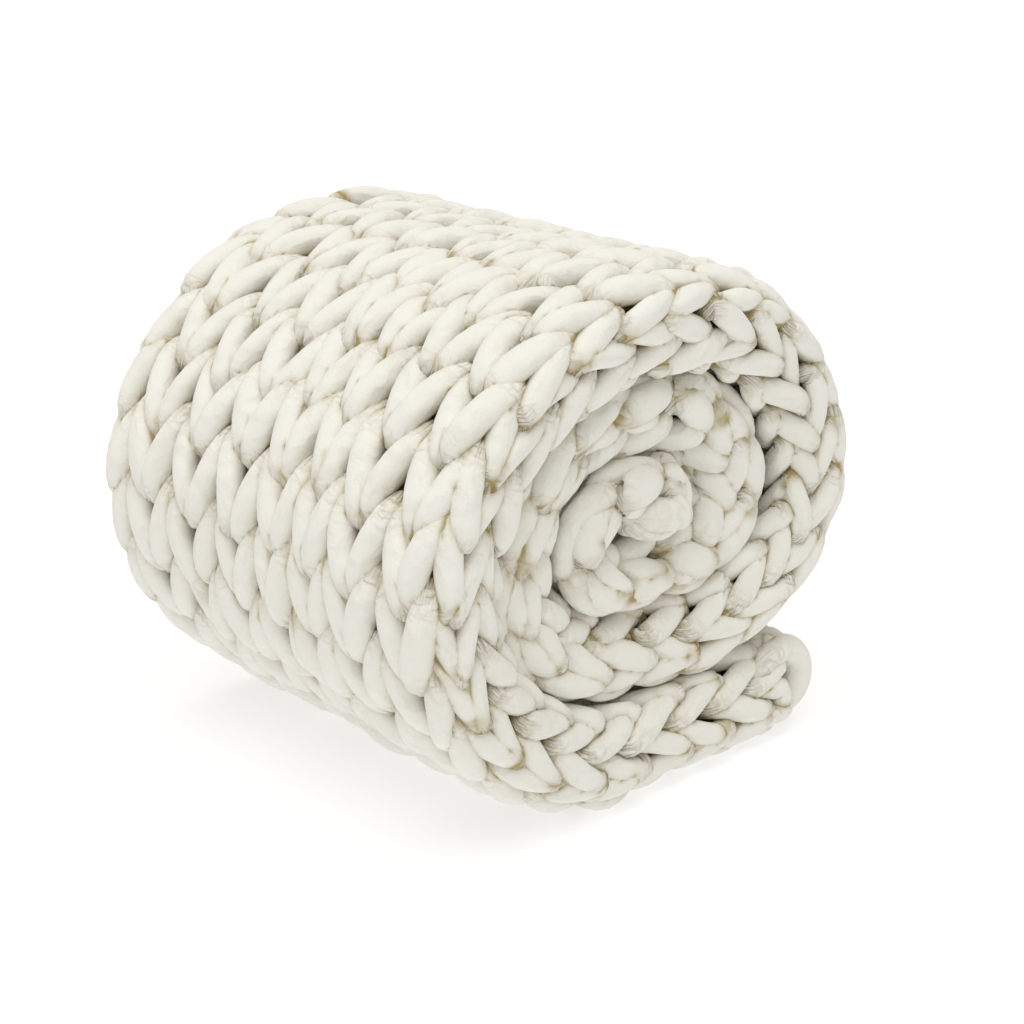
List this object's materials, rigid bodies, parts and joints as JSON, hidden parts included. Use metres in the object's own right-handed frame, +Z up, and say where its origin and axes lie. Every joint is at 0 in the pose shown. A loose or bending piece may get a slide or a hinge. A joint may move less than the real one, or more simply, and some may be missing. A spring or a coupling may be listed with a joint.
{
  "type": "rolled knitted weighted blanket",
  "caption": "Chunky hand-knit weighted blanket of thick cotton tube yarn, wound into a roll with its loose end flat on the floor.",
  "frame": {"origin": "centre of the bounding box's bottom, on the floor under the roll", "axes": "+Z up, the roll's axis along Y, and the loose end towards +X"},
  "size_m": [0.4942, 0.43, 0.4394],
  "materials": {
    "cream_cotton_tube": "matte"
  },
  "bodies": {
    "root": {"rolled_blanket": "cream_cotton_tube"}
  },
  "joints": []
}
